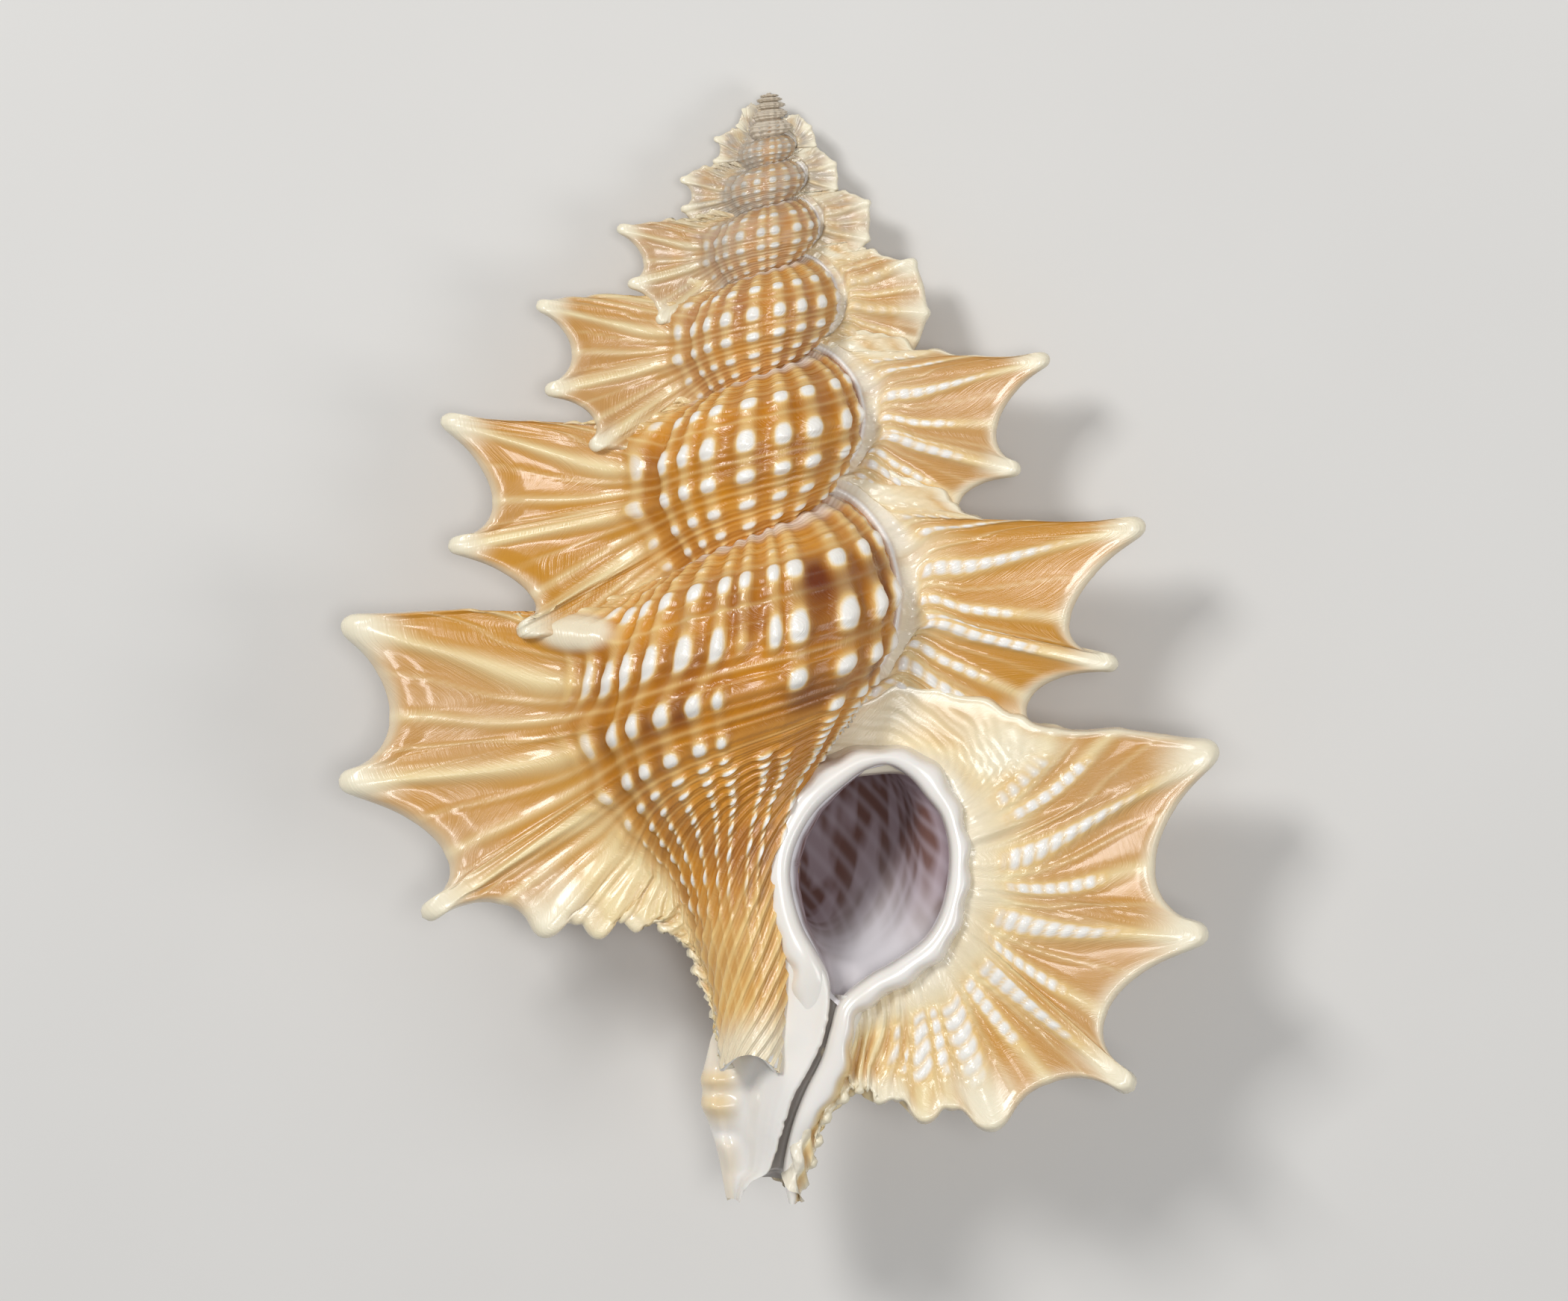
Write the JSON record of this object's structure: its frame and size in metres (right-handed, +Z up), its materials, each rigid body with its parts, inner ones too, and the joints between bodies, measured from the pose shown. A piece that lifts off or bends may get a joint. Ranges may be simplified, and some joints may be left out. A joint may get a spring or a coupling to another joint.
{
  "type": "maple leaf triton shell",
  "caption": "Flattened spiral sea shell with beaded whorls, broad spined wing varices on both sides, an oval mouth with a raised rim and an open canal.",
  "frame": {"origin": "middle of the shell's footprint, on the surface it lies on", "axes": "+Y towards the spire's tip, +X towards the mouth's side, +Z up, the way the mouth faces"},
  "size_m": [0.0508, 0.0642, 0.0177],
  "materials": {
    "shell": "glossy"
  },
  "bodies": {
    "root": {"shell": "shell"}
  },
  "joints": []
}
